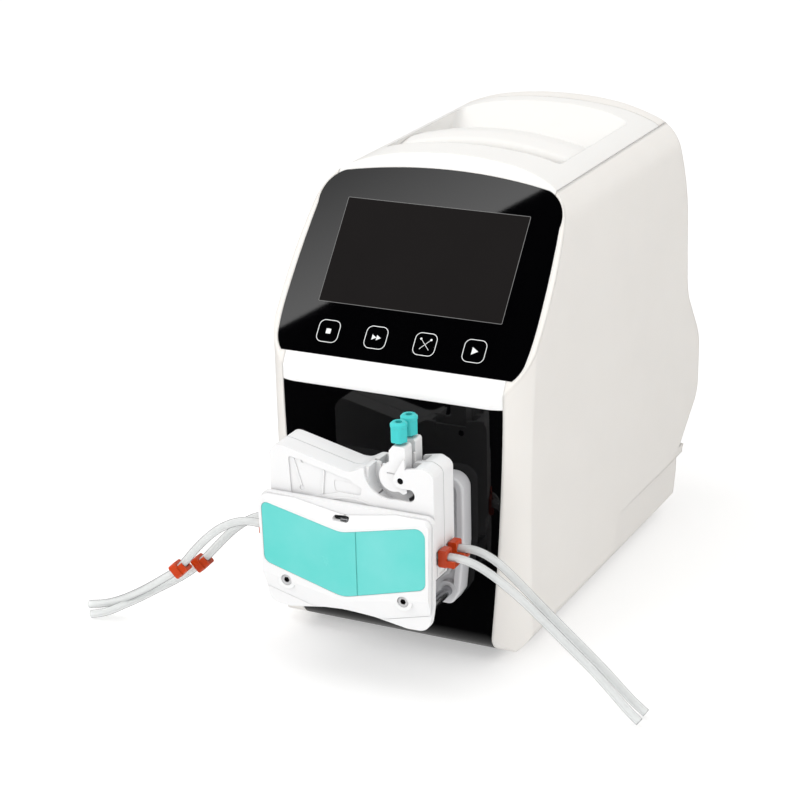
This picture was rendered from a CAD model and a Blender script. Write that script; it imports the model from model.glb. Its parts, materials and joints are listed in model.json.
"""A tube pump with a leaning touch glass and two clear hoses laid over its top.

The CAD pieces keep their own frame: +X is right, -Y is the front, +Z is up, in metres.
The script adds the print on the glass, the hoses, a latch tongue and screw sockets,
then the materials, the studio and the camera. Lengths named here are in millimetres
unless a comment says metres.
"""

import json
import math

import bmesh
import bpy
from mathutils import Matrix, Vector


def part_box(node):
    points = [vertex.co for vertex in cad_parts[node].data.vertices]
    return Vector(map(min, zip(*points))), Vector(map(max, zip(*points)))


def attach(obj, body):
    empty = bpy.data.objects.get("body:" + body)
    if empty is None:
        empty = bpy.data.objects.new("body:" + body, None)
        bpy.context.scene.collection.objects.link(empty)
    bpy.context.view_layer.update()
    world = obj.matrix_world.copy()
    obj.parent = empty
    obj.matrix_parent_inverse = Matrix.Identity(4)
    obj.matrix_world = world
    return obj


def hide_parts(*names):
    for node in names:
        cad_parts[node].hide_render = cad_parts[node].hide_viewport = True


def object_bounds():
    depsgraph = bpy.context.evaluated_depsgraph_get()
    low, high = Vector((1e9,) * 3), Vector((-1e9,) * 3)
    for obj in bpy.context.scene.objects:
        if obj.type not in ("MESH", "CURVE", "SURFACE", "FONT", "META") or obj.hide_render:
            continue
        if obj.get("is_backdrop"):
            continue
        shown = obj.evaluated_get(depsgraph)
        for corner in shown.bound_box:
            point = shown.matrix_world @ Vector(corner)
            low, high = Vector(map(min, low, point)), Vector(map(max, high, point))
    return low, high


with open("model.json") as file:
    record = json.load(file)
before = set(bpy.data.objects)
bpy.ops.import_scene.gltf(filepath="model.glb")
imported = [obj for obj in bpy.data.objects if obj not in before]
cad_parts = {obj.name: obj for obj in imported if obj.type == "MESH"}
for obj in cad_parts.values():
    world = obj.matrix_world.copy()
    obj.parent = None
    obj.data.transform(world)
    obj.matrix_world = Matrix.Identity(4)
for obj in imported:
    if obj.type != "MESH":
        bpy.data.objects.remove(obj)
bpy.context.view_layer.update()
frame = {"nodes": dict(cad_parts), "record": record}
NODES = frame["nodes"]
MM = 0.001


# ---------------------------------------------------------------- node trees
def linear(rgb):
    """sRGB 0..255 to linear RGBA."""
    scaled = [c / 255.0 for c in rgb]
    return tuple(c / 12.92 if c <= 0.04045 else ((c + 0.055) / 1.055) ** 2.4
                 for c in scaled) + (1.0,)


def dim(color, factor):
    return tuple(c * factor for c in color[:3]) + (1.0,)


class Net:
    """A node tree with short calls. Every input takes a value or an output socket."""

    def __init__(self, owner):
        owner.use_nodes = True
        self.tree = owner.node_tree
        self.tree.nodes.clear()

    def add(self, kind, inputs=None, **settings):
        node = self.tree.nodes.new(kind)
        for key, value in settings.items():
            setattr(node, key, value)
        for key, value in (inputs or {}).items():
            if isinstance(value, bpy.types.NodeSocket):
                self.tree.links.new(value, node.inputs[key])
            else:
                node.inputs[key].default_value = value
        return node

    def coords(self, kind="Object"):
        return self.add("ShaderNodeTexCoord").outputs[kind]

    def math(self, operation, a, b):
        return self.add("ShaderNodeMath", {0: a, 1: b}, operation=operation).outputs[0]

    def dot(self, a, b):
        node = self.add("ShaderNodeVectorMath", {0: a, 1: b}, operation="DOT_PRODUCT")
        return node.outputs["Value"]

    def mix(self, factor, a, b):
        return self.add("ShaderNodeMix", {0: factor, 6: a, 7: b}, data_type="RGBA").outputs[2]

    def noise(self, vector, scale, detail=3.0, roughness=0.55, distortion=0.0):
        return self.add("ShaderNodeTexNoise", {
            "Vector": vector, "Scale": scale, "Detail": detail,
            "Roughness": roughness, "Distortion": distortion}).outputs["Fac"]

    def ramp(self, value, span, to=(0.0, 1.0), interpolation="LINEAR"):
        """Map the span to the `to` range, clamped."""
        return self.add("ShaderNodeMapRange",
                        {0: value, 1: span[0], 2: span[1], 3: to[0], 4: to[1]},
                        interpolation_type=interpolation).outputs[0]

    def stretch(self, vector, scale, rotation=(0.0, 0.0, 0.0)):
        return self.add("ShaderNodeMapping", {
            "Vector": vector, "Scale": scale, "Rotation": rotation}).outputs[0]

    def bevel(self, radius):
        return self.add("ShaderNodeBevel", {"Radius": radius * MM}, samples=4).outputs[0]

    def bump(self, strength, height, **inputs):
        return self.add("ShaderNodeBump", {
            "Strength": strength, "Distance": 0.0002, "Height": height, **inputs}).outputs[0]

    def output(self, shader, kind="ShaderNodeOutputMaterial"):
        self.add(kind, {0: shader.outputs[0]})


def new_material(name):
    material = bpy.data.materials.new(name)
    return material, Net(material)


# ---------------------------------------------------------------- materials
def surface(name, color, worn, rough, drift, rough_spread, grain, bump, wear,
            metallic=0.0, specular=0.5, coat=0.0, bevel=0.3, cavity=0.0, subsurface=0.0,
            transmission=0.0, ior=1.5, brush=None, scratch=0.0, tint=None,
            radius=(1.0, 0.9, 0.8)):
    """Colour drift, smudges, moulding grain or brushing, fine scratches, worn edges."""
    material, net = new_material(name)
    vector = net.coords()
    color = linear(color)

    # broad drift between two shades, then small dark specks
    light = linear(tint) if tint else dim(color, 1.0 + drift * 0.6)
    base = net.mix(net.ramp(net.noise(vector, scale=22.0, detail=4.0), span=(0.3, 0.7)),
                   dim(color, 1.0 - drift), light)
    specks = net.ramp(net.noise(vector, scale=900.0, detail=2.0), span=(0.62, 0.8),
                      to=(0.0, 0.25 * min(1.0, drift * 8)))
    base = net.mix(specks, base, dim(color, 0.8))

    # an edge is where the true normal leaves a widely rounded one
    if wear:
        true_normal = net.add("ShaderNodeNewGeometry").outputs["Normal"]
        edge = net.ramp(net.dot(net.bevel(radius=0.8), true_normal), span=(0.985, 0.80))
        patches = net.ramp(net.noise(vector, scale=140.0, detail=5.0), span=(0.4, 0.62))
        amount = net.math("MULTIPLY", net.math("MULTIPLY", edge, patches), wear)
        base = net.mix(amount, base, linear(worn))
    if cavity:
        occlusion = net.add("ShaderNodeAmbientOcclusion", {"Distance": 6.0 * MM}, samples=4)
        hollow = net.ramp(occlusion.outputs["AO"], span=(0.25, 0.95), to=(cavity, 0.0))
        base = net.mix(hollow, base, dim(color, 0.45))

    smudges = net.noise(vector, scale=60.0, detail=5.0, roughness=0.6, distortion=0.4)
    roughness = net.ramp(smudges, span=(0.25, 0.75), to=(
        max(0.02, rough - rough_spread), min(1.0, rough + rough_spread)))

    if brush:
        relief = net.noise(net.stretch(vector, scale=brush), scale=1.0, detail=3.0)
    else:
        relief = net.noise(vector, scale=grain, detail=2.0)
    if scratch:
        # long thin streaks, askew to all three axes
        streaks = net.stretch(vector, scale=(40.0, 2600.0, 300.0), rotation=(0.4, 0.9, 0.7))
        lines = net.ramp(net.noise(streaks, scale=1.0, detail=1.0), span=(0.66, 0.72))
        relief = net.math("SUBTRACT", relief, net.math("MULTIPLY", lines, scratch))

    inputs = {
        "Base Color": base, "Roughness": roughness, "Metallic": metallic, "IOR": ior,
        "Specular IOR Level": specular, "Coat Weight": coat, "Coat Roughness": 0.04,
        "Transmission Weight": transmission,
        "Normal": net.bump(bump, relief, Normal=net.bevel(bevel)),
    }
    if subsurface:
        inputs.update({"Subsurface Weight": subsurface, "Subsurface Radius": radius,
                       "Subsurface Scale": 0.0015})
    net.output(net.add("ShaderNodeBsdfPrincipled", inputs))
    return material


# name: sRGB colour, sRGB of worn edges, roughness, colour drift, roughness spread,
#       grain scale, bump strength, wear, and the settings that leave their defaults
#       (bevel in mm, brush as the noise scale along x, y, z)
SURFACES = {
    "housing_white": ((238, 235, 231), (252, 251, 248), 0.36, 0.015, 0.05, 1300, 0.07, 0.25,
                      dict(subsurface=0.12, cavity=0.25, scratch=0.25, bevel=2.4)),
    "band_white": ((250, 250, 250), (254, 254, 254), 0.3, 0.012, 0.05, 1300, 0.05, 0.25,
                   dict(subsurface=0.10, cavity=0.15, scratch=0.2, bevel=0.6)),
    "screw_light": ((222, 222, 224), (244, 244, 245), 0.3, 0.05, 0.08, 900, 0.05, 0.4,
                    dict(metallic=0.25, scratch=0.3, cavity=0.6)),
    "housing_top": ((238, 237, 235), (254, 254, 253), 0.36, 0.012, 0.05, 1300, 0.06, 0.25,
                    dict(subsurface=0.10, cavity=0.2, scratch=0.25, bevel=0.8)),
    "screw_dark": ((58, 58, 60), (190, 190, 192), 0.28, 0.12, 0.08, 900, 0.05, 0.6,
                   dict(metallic=0.8, scratch=0.3)),
    "fascia_black": ((5, 5, 6), (42, 42, 44), 0.05, 0.2, 0.025, 2200, 0.004, 0.3,
                     dict(ior=1.38, scratch=0.1, bevel=0.25)),
    "glass": ((3, 3, 4), (50, 52, 54), 0.012, 0.15, 0.006, 2600, 0.002, 0.4,
              dict(scratch=0.1, bevel=0.25)),
    "galvanised": ((176, 180, 184), (225, 228, 230), 0.42, 0.22, 0.12, 900, 0.12, 0.5,
                   dict(metallic=1.0, scratch=0.6)),
    "rubber": ((28, 28, 29), (60, 60, 60), 0.75, 0.2, 0.08, 1800, 0.25, 0.4, {}),
    "board_green": ((18, 92, 54), (150, 140, 90), 0.38, 0.25, 0.1, 1200, 0.12, 0.5,
                    dict(scratch=0.4)),
    "display_black": ((24, 24, 26), (60, 60, 62), 0.45, 0.2, 0.08, 1600, 0.08, 0.3, {}),
    "steel": ((176, 177, 180), (235, 235, 238), 0.24, 0.12, 0.08, 900, 0.07, 0.4,
              dict(metallic=1.0, brush=(2600, 60, 2600), scratch=0.4)),
    "steel_rollers": ((196, 197, 200), (240, 240, 242), 0.14, 0.08, 0.06, 900, 0.04, 0.4,
                      dict(metallic=1.0, brush=(300, 2600, 300), scratch=0.5)),
    "motor_metal": ((46, 47, 50), (130, 130, 134), 0.42, 0.3, 0.12, 1100, 0.14, 0.6,
                    dict(metallic=0.6, scratch=0.5)),
    "aluminium": ((196, 198, 201), (235, 236, 238), 0.32, 0.1, 0.1, 900, 0.1, 0.5,
                  dict(metallic=1.0, brush=(2400, 90, 2400), scratch=0.5)),
    "plate_grey": ((214, 214, 217), (246, 246, 247), 0.42, 0.03, 0.07, 1500, 0.08, 0.35,
                   dict(subsurface=0.05, cavity=0.35, scratch=0.3)),
    "head_white": ((240, 240, 241), (253, 253, 253), 0.34, 0.015, 0.06, 1700, 0.05, 0.35,
                   dict(subsurface=0.10, cavity=0.3, scratch=0.25, bevel=0.35)),
    "teal_gloss": ((95, 214, 207), (150, 232, 226), 0.24, 0.03, 0.05, 2100, 0.02, 0.3,
                   dict(coat=0.25, tint=(122, 218, 214), scratch=0.2)),
    "teal_knob": ((62, 204, 204), (140, 230, 226), 0.4, 0.08, 0.08, 1700, 0.08, 0.5,
                  dict(subsurface=0.15, cavity=0.4, bevel=0.4)),
    "shoe_grey": ((150, 152, 154), (200, 201, 202), 0.45, 0.1, 0.08, 1500, 0.1, 0.4,
                  dict(cavity=0.3)),
    "lever_white": ((240, 240, 241), (253, 253, 253), 0.32, 0.015, 0.06, 1700, 0.05, 0.35,
                    dict(subsurface=0.08, cavity=0.45, bevel=0.35)),
    "stop_orange": ((212, 68, 14), (246, 140, 70), 0.3, 0.18, 0.08, 1600, 0.06, 0.5,
                    dict(subsurface=0.25, transmission=0.12, radius=(1.0, 0.3, 0.1),
                         cavity=0.4)),
    "black_plastic": ((22, 22, 23), (70, 70, 71), 0.45, 0.25, 0.1, 1500, 0.12, 0.4, {}),
    "print_white": ((236, 238, 238), None, 0.5, 0.08, 0.08, 2600, 0.05, 0.0,
                    dict(specular=0.2, bevel=0.02)),
    "print_grey": ((120, 120, 120), None, 0.5, 0.15, 0.08, 2600, 0.05, 0.0,
                   dict(specular=0.2, bevel=0.02)),
    "window_black": ((27, 25, 25), None, 0.7, 0.06, 0.05, 2600, 0.02, 0.0,
                     dict(specular=0.05, bevel=0.02)),
}


def clear_tube():
    """Clear hose: see-through in the middle, milky grey along its edges."""
    material, net = new_material("tube_clear")
    vector = net.coords()
    facing = net.add("ShaderNodeLayerWeight", {"Blend": 0.5}).outputs["Facing"]
    cloud = net.ramp(net.noise(vector, scale=90.0, detail=4.0), span=(0.3, 0.7), to=(0.0, 0.06))
    body = net.mix(net.ramp(facing, span=(0.42, 0.86)),
                   linear((243, 245, 245)), linear((92, 95, 96)))
    wall = net.add("ShaderNodeBsdfPrincipled", {
        "Base Color": net.mix(cloud, body, linear((250, 251, 251))),
        "Roughness": net.ramp(net.noise(vector, scale=260.0), span=(0.3, 0.7), to=(0.03, 0.09)),
        "IOR": 1.45,
        "Specular IOR Level": 0.6,
        "Normal": net.bump(0.002, net.noise(vector, scale=160.0, detail=2.0)),
    })
    clear = net.add("ShaderNodeBsdfTransparent", {"Color": (0.97, 0.975, 0.975, 1)})
    opacity = net.math("ADD", net.ramp(facing, span=(0.2, 0.92), to=(0.46, 0.92)), cloud)
    net.output(net.add("ShaderNodeMixShader",
                       {0: opacity, 1: clear.outputs[0], 2: wall.outputs[0]}))
    return material


MATERIALS = {name: surface(name, *row[:-1], **row[-1]) for name, row in SURFACES.items()}
MATERIALS["tube_clear"] = clear_tube()


# ---------------------------------------------------------------- mesh helpers
def shade_smooth(mesh, sharp_degrees):
    mesh.polygons.foreach_set("use_smooth", [True] * len(mesh.polygons))
    mesh.set_sharp_from_angle(angle=math.radians(sharp_degrees))


def link_object(name, data):
    obj = bpy.data.objects.new(name, data)
    bpy.context.scene.collection.objects.link(obj)
    return obj


def mesh_object(name, bm):
    mesh = bpy.data.meshes.new(name)
    bm.to_mesh(mesh)
    bm.free()
    return link_object(name, mesh)


def finish_piece(name, bm, material, body="root", sharp_degrees=None):
    bmesh.ops.recalc_face_normals(bm, faces=bm.faces)
    obj = mesh_object(name, bm)
    obj.data.materials.append(MATERIALS[material])
    if sharp_degrees is not None:
        shade_smooth(obj.data, sharp_degrees)
    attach(obj, body)
    return obj


# CAD nodes whose material differs from their slot
NODE_MATERIAL = {
    "front_band": "band_white",
    "top_shell": "housing_top",
    "carry_handle": "housing_top",
    "cover_screws": "screw_light",
    "front_lever_pin_and_catch": "screw_dark",
    "rear_lever_pin_and_catch": "screw_dark",
}
NODE_SLOT = {part["node"]: part["material_slot"] for part in frame["record"]["subparts"]}
for name, node in NODES.items():
    node.data.materials.clear()
    node.data.materials.append(MATERIALS[NODE_MATERIAL.get(name, NODE_SLOT[name])])
    shade_smooth(node.data, 32)


# ---------------------------------------------------------------- print on the glass
# The glass leans back. Its frame is across (x), up the slope, and out of the face.
GLASS_LEAN = math.radians(39)  # from upright
GLASS_UP = Vector((0, math.sin(GLASS_LEAN), math.cos(GLASS_LEAN)))
GLASS_OUT = Vector((0, -math.cos(GLASS_LEAN), math.sin(GLASS_LEAN)))
BELOW_FOOT = 0.7   # origin below the front foot of the glass, along the slope
BELOW_TOP = 100.3  # origin below the top of the glass, along the slope
GLASS_LOW, GLASS_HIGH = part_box("touch_glass")
GLASS_ORIGIN = Vector((0, GLASS_LOW.y - BELOW_FOOT * MM * GLASS_UP.y,
                       GLASS_HIGH.z - BELOW_TOP * MM * GLASS_UP.z))

SUNK = -0.02         # back of the print, just under the glass face
PRINT_OUT = 0.03     # front of the white print
WINDOW_OUT = 0.02
WINDOW_LINE_OUT = 0.035

WINDOW_BOTTOM, WINDOW_TOP = 27.3, 81.1
WINDOW_WIDTH = 95.0

KEY_SIZE = 11.35
KEY_RADIUS = 3.2
KEY_LINE = 0.33
KEY_UP = 12.6
KEYS_X = (-37.88, -12.72, 12.72, 37.88)


def on_glass(x, up, out):
    return GLASS_ORIGIN + Vector((x * MM, 0, 0)) + GLASS_UP * (up * MM) + GLASS_OUT * (out * MM)


def plate(bm, outline, back=SUNK, front=PRINT_OUT):
    low = [bm.verts.new(on_glass(x, up, back)) for x, up in outline]
    high = [bm.verts.new(on_glass(x, up, front)) for x, up in outline]
    bm.faces.new(high)
    bm.faces.new(low[::-1])
    for i in range(len(outline)):
        j = (i + 1) % len(outline)
        bm.faces.new((low[i], low[j], high[j], high[i]))


def ring(bm, outer, inner, front=PRINT_OUT):
    section = ((outer, SUNK), (outer, front), (inner, front), (inner, SUNK))
    loops = [[bm.verts.new(on_glass(x, up, out)) for x, up in outline]
             for outline, out in section]
    for i in range(len(outer)):
        j = (i + 1) % len(outer)
        for a in range(4):
            b = (a + 1) % 4
            bm.faces.new((loops[a][i], loops[a][j], loops[b][j], loops[b][i]))


def round_rect(x, up, width, height, radius, segments=8):
    points = []
    for side_x, side_up, start in ((1, 1, 0), (-1, 1, 90), (-1, -1, 180), (1, -1, 270)):
        for i in range(segments + 1):
            angle = math.radians(start + 90 * i / segments)
            points.append((x + side_x * (width / 2 - radius) + radius * math.cos(angle),
                           up + side_up * (height / 2 - radius) + radius * math.sin(angle)))
    return points


def stroke(bm, start, end, width):
    along = Vector((end[0] - start[0], end[1] - start[1])).normalized()
    side = Vector((-along.y, along.x)) * (width / 2)
    corners = ((start, 1), (start, -1), (end, -1), (end, 1))
    plate(bm, [(p[0] + s * side.x, p[1] + s * side.y) for p, s in corners], back=0.0)


def disc(bm, x, up, radius, segments=20):
    angles = [2 * math.pi * i / segments for i in range(segments)]
    plate(bm, [(x + radius * math.cos(a), up + radius * math.sin(a)) for a in angles], back=0.0)


def triangle(bm, base_x, tip_x, half_height):
    plate(bm, [(base_x, KEY_UP - half_height), (tip_x, KEY_UP), (base_x, KEY_UP + half_height)])


def window_outline(grow, radius):
    return round_rect(0, (WINDOW_BOTTOM + WINDOW_TOP) / 2, WINDOW_WIDTH + grow,
                      WINDOW_TOP - WINDOW_BOTTOM + grow, radius, segments=3)


def display_window():
    bm = bmesh.new()
    plate(bm, window_outline(grow=0.0, radius=0.5), front=WINDOW_OUT)
    finish_piece("display_window", bm, "window_black")
    bm = bmesh.new()
    ring(bm, window_outline(grow=0.5, radius=0.6), window_outline(grow=-0.05, radius=0.4),
         front=WINDOW_LINE_OUT)
    finish_piece("display_window_line", bm, "print_grey")


def key_outlines():
    bm = bmesh.new()
    hole = KEY_SIZE - 2 * KEY_LINE
    for x in KEYS_X:
        ring(bm, round_rect(x, KEY_UP, KEY_SIZE, KEY_SIZE, KEY_RADIUS),
             round_rect(x, KEY_UP, hole, hole, KEY_RADIUS - KEY_LINE))
    finish_piece("key_outlines", bm, "print_white")


def key_signs():
    """From left: a square, a double arrow, two crossed strokes with dots, an arrow."""
    square_x, double_x, cross_x, arrow_x = KEYS_X
    bm = bmesh.new()
    plate(bm, round_rect(square_x, KEY_UP, 2.5, 2.5, radius=0.3, segments=3))
    for offset in (-2.1, 0.25):
        base_x = double_x + offset
        triangle(bm, base_x, tip_x=base_x + 2.3, half_height=1.35)
    for side in (-1, 1):
        stroke(bm, start=(cross_x - side * 2.4, KEY_UP - 2.6),
               end=(cross_x + side * 2.5, KEY_UP + 2.4), width=0.26)
        disc(bm, cross_x + side * 2.6, KEY_UP + 2.5, radius=0.55)
    triangle(bm, arrow_x - 1.3, tip_x=arrow_x + 1.9, half_height=1.9)
    finish_piece("key_signs", bm, "print_white")


display_window()
key_outlines()
key_signs()

# ---------------------------------------------------------------- clear hoses
# Points below are measured from the front plane of the fascia, 11 mm above the feet's soles.
ORIGIN = Vector((0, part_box("front_fascia")[0].y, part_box("rubber_feet")[0].z + 11.0 * MM))

HOSE_RADIUS, HOSE_BORE = 2.0, 1.2  # outer and inner radius
HOSE_SIDES = 28
HOSE_STEP = 1.2                    # between rings
SPAN_SAMPLES = 24                  # curve samples between two control points
SMOOTH_PASSES = 10
ARC_RADIUS, ARC_Z = 26.2, 50       # arc over the middle
FRONT_Y, REAR_Y = -37.4, -27.0

# control points (x, y, z) on the left and on the right of the shared middle run
FRONT_LEFT = [
    (-157.5, -27.3, -7.6), (-148, -28.6, -4.9), (-138.4, -30.2, -0.7), (-121.9, -33.9, 9.1),
    (-108.2, -36.4, 18.6), (-97, FRONT_Y, 27.03), (-88.4, FRONT_Y, 37.2),
    (-81.1, FRONT_Y, 45.1), (-72.3, FRONT_Y, 52.6), (-62.3, FRONT_Y, 57.7),
    (-55, FRONT_Y, 59.1), (-49, FRONT_Y, 58.8),
]
FRONT_RIGHT = [
    (48, FRONT_Y, 59.1), (54, FRONT_Y + 0.5, 58.8), (60.6, FRONT_Y + 1.3, 56.8),
    (68.7, -34.8, 51.9), (81.5, -33.2, 42.2), (90, -32.1, 34.5), (103.6, -30.4, 21.6),
    (113.8, -29.3, 12.2), (124.5, -29.0, 1.6), (131, -29.6, -4.2), (136.8, -30.6, -8.2),
]
REAR_LEFT = [
    (-151.4, -35.5, -8.4), (-143, -34, -6.2), (-134.8, -32.5, -1.8), (-127.6, -30.5, 1.9),
    (-116.6, -28.5, 8.6), (-105, -27.3, 15.8), (-97, REAR_Y, 21.5), (-91, REAR_Y, 27.0),
    (-85, REAR_Y, 33.4), (-79.2, REAR_Y, 39.8), (-73.5, REAR_Y, 45.8), (-67, REAR_Y, 51.4),
    (-60, REAR_Y, 56.0), (-54, REAR_Y, 58.2), (-48, REAR_Y, 58.7),
]
REAR_RIGHT = [
    (48, REAR_Y, 59.3), (55, REAR_Y + 0.6, 59.5), (64.5, REAR_Y + 1.6, 55.6),
    (75, -24.5, 46.9), (86.3, -23.5, 36.3), (102, -22.1, 21.8), (116.7, -20.9, 8.4),
    (126.5, -20.7, -1.0), (131.5, -20.9, -5.2), (136.5, -21.4, -8.3),
]


def lay(x, y, z):
    return ORIGIN + Vector((x, y, z)) * MM


def middle_run(y):
    """The run both hoses share: up to the arc, over it and down."""
    angles = [math.radians(a) for a in range(-50, 51, 10)]
    arc = [(ARC_RADIUS * math.sin(a), y, ARC_Z + ARC_RADIUS * math.cos(a)) for a in angles]
    return ([(-43.3, y, 58.7), (-38, y, 60.4), (-30, y, 64.4)] + arc
            + [(30, y, 64.4), (38, y, 60.4), (43.5, y, 58.9)])


def catmull_rom(controls):
    """Centripetal Catmull-Rom curve through the control points."""
    c = [Vector(p) for p in controls]
    c = [c[0] * 2 - c[1]] + c + [c[-1] * 2 - c[-2]]

    def blend(a, b, start, end, t):
        return a * ((end - t) / (end - start)) + b * ((t - start) / (end - start))

    curve = []
    for i in range(1, len(c) - 2):
        points = c[i - 1:i + 3]
        knots = [0.0]
        for p, q in zip(points, points[1:]):
            knots.append(knots[-1] + max(1e-6, (q - p).length) ** 0.5)
        for k in range(SPAN_SAMPLES):
            t = knots[1] + (knots[2] - knots[1]) * k / SPAN_SAMPLES
            a = [blend(points[n], points[n + 1], knots[n], knots[n + 1], t) for n in range(3)]
            b = [blend(a[n], a[n + 1], knots[n], knots[n + 2], t) for n in range(2)]
            curve.append(blend(b[0], b[1], knots[1], knots[2], t))
    return curve + [c[-2]]


def even_path(controls):
    """The curve resampled at even steps, then relaxed with its ends held."""
    curve = catmull_rom(controls)
    path, walked = [curve[0]], 0.0
    for a, b in zip(curve, curve[1:]):
        span = (b - a).length
        while walked + span >= HOSE_STEP:
            a = a + (b - a) * ((HOSE_STEP - walked) / span)
            span = (b - a).length
            path.append(a)
            walked = 0.0
        walked += span
    path.append(curve[-1])
    for _ in range(SMOOTH_PASSES):
        inner = [(p * 2 + a + b) / 4 for a, p, b in zip(path, path[1:], path[2:])]
        path = [path[0]] + inner + [path[-1]]
    return path


def hose(name, controls, body):
    path = even_path(controls)
    bm = bmesh.new()
    angles = [2 * math.pi * i / HOSE_SIDES for i in range(HOSE_SIDES)]
    across = Vector((0, 1, 0))
    stations = []  # outer and inner loop at each path point
    for i, p in enumerate(path):
        along = (path[min(i + 1, len(path) - 1)] - path[max(i - 1, 0)]).normalized()
        # carried from the last station so that the hose doesn't twist
        across = (across - along * across.dot(along)).normalized()
        other = along.cross(across)
        stations.append([
            [bm.verts.new(lay(*(p + (across * math.cos(a) + other * math.sin(a)) * radius)))
             for a in angles] for radius in (HOSE_RADIUS, HOSE_BORE)])

    def add_face(corners, flip):
        bm.faces.new(corners[::-1] if flip else corners)

    for here, ahead in zip(stations, stations[1:]):
        for wall in (0, 1):
            for i in range(HOSE_SIDES):
                j = (i + 1) % HOSE_SIDES
                add_face((here[wall][i], here[wall][j], ahead[wall][j], ahead[wall][i]),
                         flip=wall == 1)
    for (outer, inner), is_last in ((stations[0], False), (stations[-1], True)):
        for i in range(HOSE_SIDES):
            j = (i + 1) % HOSE_SIDES
            add_face((outer[i], inner[i], inner[j], outer[j]), flip=not is_last)
    return finish_piece(name, bm, "tube_clear", body, sharp_degrees=40)


front_hose = hose("front_clear_tube", FRONT_LEFT + middle_run(FRONT_Y) + FRONT_RIGHT,
                  "front_cassette")
rear_hose = hose("rear_clear_tube", REAR_LEFT + middle_run(REAR_Y) + REAR_RIGHT,
                 "rear_cassette")
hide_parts("front_pump_tube")
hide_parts("rear_pump_tube")

# ---------------------------------------------------------------- small details
TONGUE_CENTER = (0.4, -47.4, 73.5)
TONGUE_SIZE = (3.6, 3.2, 1.0)
TONGUE_BEVEL = 0.35
SOCKETS_X = (-30.0, 30.0)
SOCKET_Z = 39.0
SOCKET_LOOPS = ((1.28, -49.86), (1.2, -48.3))  # radius and y of the mouth and the floor


def latch_tongue():
    """Steel tongue in the slot of the cover."""
    bm = bmesh.new()
    bmesh.ops.create_cube(bm, size=1.0)
    for v in bm.verts:
        v.co = lay(*(c + u * size for c, u, size in zip(TONGUE_CENTER, v.co, TONGUE_SIZE)))
    bmesh.ops.bevel(bm, geom=list(bm.edges), offset=TONGUE_BEVEL * MM, segments=3,
                    affect="EDGES", profile=0.6)
    finish_piece("cover_latch_tongue", bm, "steel", sharp_degrees=30)


def screw_sockets():
    """Dark hexagon sockets in the two cover screws."""
    bm = bmesh.new()
    angles = [math.pi * i / 3 for i in range(6)]
    for x in SOCKETS_X:
        mouth, bottom = [
            [bm.verts.new(lay(x + r * math.cos(a), y, SOCKET_Z + r * math.sin(a)))
             for a in angles] for r, y in SOCKET_LOOPS]
        bm.faces.new(bottom)
        for i in range(6):
            j = (i + 1) % 6
            bm.faces.new((mouth[i], mouth[j], bottom[j], bottom[i]))
    finish_piece("cover_screw_sockets", bm, "screw_dark", sharp_degrees=30)


latch_tongue()
screw_sockets()


# ---------------------------------------------------------------- studio, in metres
def studio_floor():
    """Pale floor with a little glow of its own, hidden from reflections."""
    bpy.ops.mesh.primitive_plane_add(size=30, location=(0, 0, 0))
    floor = bpy.context.object
    floor.name = "studio_floor"
    material, net = new_material("studio_floor")
    mottle = net.ramp(net.noise(net.coords(), scale=3.0), span=(0.3, 0.7))
    paint = net.add("ShaderNodeBsdfDiffuse", {
        "Color": net.mix(mottle, (0.68, 0.68, 0.68, 1), (0.70, 0.70, 0.70, 1))})
    glow = net.add("ShaderNodeEmission", {"Strength": 0.38})
    net.output(net.add("ShaderNodeAddShader", {0: paint.outputs[0], 1: glow.outputs[0]}))
    floor.data.materials.append(material)
    floor.visible_glossy = False
    floor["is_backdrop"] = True


def studio_world():
    """Soft white, but reflections find it dark in one patch and around the horizon."""
    world = bpy.data.worlds.new("studio")
    bpy.context.scene.world = world
    net = Net(world)
    direction = net.coords("Generated")
    height = net.add("ShaderNodeSeparateXYZ", {0: direction}).outputs[2]

    def smooth(value, low, high):
        return net.ramp(value, span=(low, high), interpolation="SMOOTHSTEP")

    def inverse(value):
        return net.math("SUBTRACT", 1.0, value)

    # the patch of sky, up front and to the left, that is kept dark
    patch = Vector((-0.42, -0.47, 0.775)).normalized()
    dark_patch = smooth(net.dot(direction, patch), 0.93, 0.975)
    deep = smooth(net.math("MULTIPLY", height, -1.0), 0.42, 1.0)
    below = smooth(net.math("MULTIPLY", height, -1.0), -0.02, 0.05)
    sky = net.math("MULTIPLY", inverse(dark_patch), inverse(below))
    reflected = net.math("ADD", net.math("MULTIPLY", sky, 0.75),
                         net.math("MULTIPLY", deep, 0.8))
    plain = net.math("ADD", 0.62, net.math("MULTIPLY", smooth(height, -0.2, 1.0), 0.25))
    is_glossy = net.add("ShaderNodeLightPath").outputs["Is Glossy Ray"]
    strength = net.math("ADD", net.math("MULTIPLY", is_glossy, reflected),
                        net.math("MULTIPLY", inverse(is_glossy), plain))
    net.output(net.add("ShaderNodeBackground", {
        "Color": (1.0, 0.995, 0.985, 1), "Strength": strength}), "ShaderNodeOutputWorld")


def area_light(name, location, target, size, power, color=(1, 1, 1)):
    """Square light, unseen by the camera and by reflections."""
    light = bpy.data.lights.new(name, "AREA")
    light.shape = "RECTANGLE"
    light.size = light.size_y = size
    light.energy = power
    light.color = color
    obj = link_object(name, light)
    obj.location = location
    obj.rotation_mode = "QUATERNION"
    obj.rotation_quaternion = (target - Vector(location)).to_track_quat("-Z", "Y")
    obj.visible_glossy = False
    obj.visible_camera = False


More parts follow.
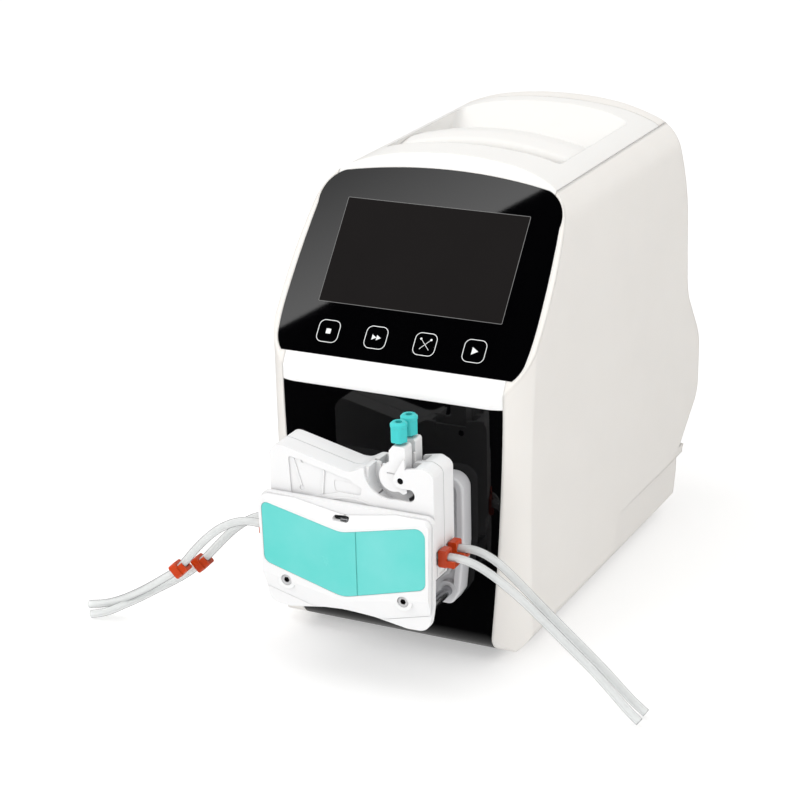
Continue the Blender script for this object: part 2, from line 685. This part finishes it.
studio_floor()
studio_world()
low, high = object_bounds()
middle = (low + high) / 2
area_light("key", (-1.3, -1.9, 1.5), middle, size=1.3, power=20.0, color=(1.0, 0.995, 0.98))
area_light("top", (-0.5, -0.2, 2.2), middle, size=1.4, power=9.0)
area_light("right_fill", (2.2, -0.6, 1.0), middle, size=1.4, power=8.0, color=(1.0, 0.99, 0.97))

# ---------------------------------------------------------------- camera axes
CAMERA_PLACE = Vector((459.59, -989.09, 498.72)) * MM
AZIMUTH, ELEVATION, ROLL = map(math.radians, (26.985, 20.392, -1.496))
LENS, SENSOR = 103.8798, 36.0
SHIFT_X, SHIFT_Y = 0.000625, -0.0004

VIEW = Vector((-math.sin(AZIMUTH) * math.cos(ELEVATION),
               math.cos(AZIMUTH) * math.cos(ELEVATION), -math.sin(ELEVATION)))
level_right = Vector((math.cos(AZIMUTH), math.sin(AZIMUTH), 0))
level_up = level_right.cross(VIEW)
RIGHT = math.cos(ROLL) * level_right + math.sin(ROLL) * level_up
UP = -math.sin(ROLL) * level_right + math.cos(ROLL) * level_up

# ---------------------------------------------------------------- reflection card, in metres
# Sight lines as slopes (right, up) from the view axis. Mirrored by the glass, the first
# two land on the bright edge of the card and the third on its face.
EDGE_START = (-0.05219975, 0.03105127)
EDGE_END = (0.06129681, 0.09083190)
FACE_SIDE = (-0.03010691, 0.09083190)
CARD_REACH = 1.5     # from the glass along the mirrored line
CARD_OVERHANG = 0.5  # past each end of the edge
CARD_DEPTH = 0.30
FADE_DEPTH = 0.16    # over which the card dims
EDGE_GLOW, FACE_GLOW = 2.6, 0.75


def mirrored(right, up):
    """Where the sight line lands after the glass mirrors it."""
    ray = (VIEW + RIGHT * right + UP * up).normalized()
    distance = (GLASS_ORIGIN - CAMERA_PLACE).dot(GLASS_OUT) / ray.dot(GLASS_OUT)
    bounced = ray - GLASS_OUT * (2 * ray.dot(GLASS_OUT))
    return CAMERA_PLACE + ray * distance + bounced * CARD_REACH


def reflection_card():
    """Lays a slanting grey reflection over the upper left of the glass."""
    start, end, face = (mirrored(*slopes) for slopes in (EDGE_START, EDGE_END, FACE_SIDE))
    along = (end - start).normalized()
    inward = (face - start) - along * (face - start).dot(along)
    inward.normalize()
    a = start - along * CARD_OVERHANG
    b = end + along * CARD_OVERHANG
    depth = inward * CARD_DEPTH
    bm = bmesh.new()
    bm.faces.new([bm.verts.new(p) for p in (a, b, b + depth, a + depth)])
    card = mesh_object("reflection_card", bm)

    material, net = new_material("reflection_card")
    position = net.add("ShaderNodeNewGeometry").outputs["Position"]
    offset = net.add("ShaderNodeVectorMath", {0: position, 1: start}, operation="SUBTRACT")
    glow = net.ramp(net.dot(offset.outputs[0], inward), span=(0.0, FADE_DEPTH),
                    to=(EDGE_GLOW, FACE_GLOW))
    net.output(net.add("ShaderNodeEmission", {"Strength": glow}))
    card.data.materials.append(material)
    card.visible_camera = False
    card.visible_diffuse = False
    card.visible_transmission = False
    card.visible_shadow = False
    card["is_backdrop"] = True


def add_camera():
    camera = link_object("camera", bpy.data.cameras.new("camera"))
    rows = [(*row, 0) for row in (RIGHT, UP, -VIEW)] + [(*CAMERA_PLACE, 1)]
    camera.matrix_world = Matrix(rows).transposed()
    camera.data.sensor_width = SENSOR
    camera.data.lens = LENS
    camera.data.shift_x = SHIFT_X
    camera.data.shift_y = SHIFT_Y
    camera.data.clip_start, camera.data.clip_end = 0.05, 100.0
    bpy.context.scene.camera = camera


reflection_card()
add_camera()
bpy.context.scene.view_settings.view_transform = "Standard"
bpy.context.scene.view_settings.look = "None"
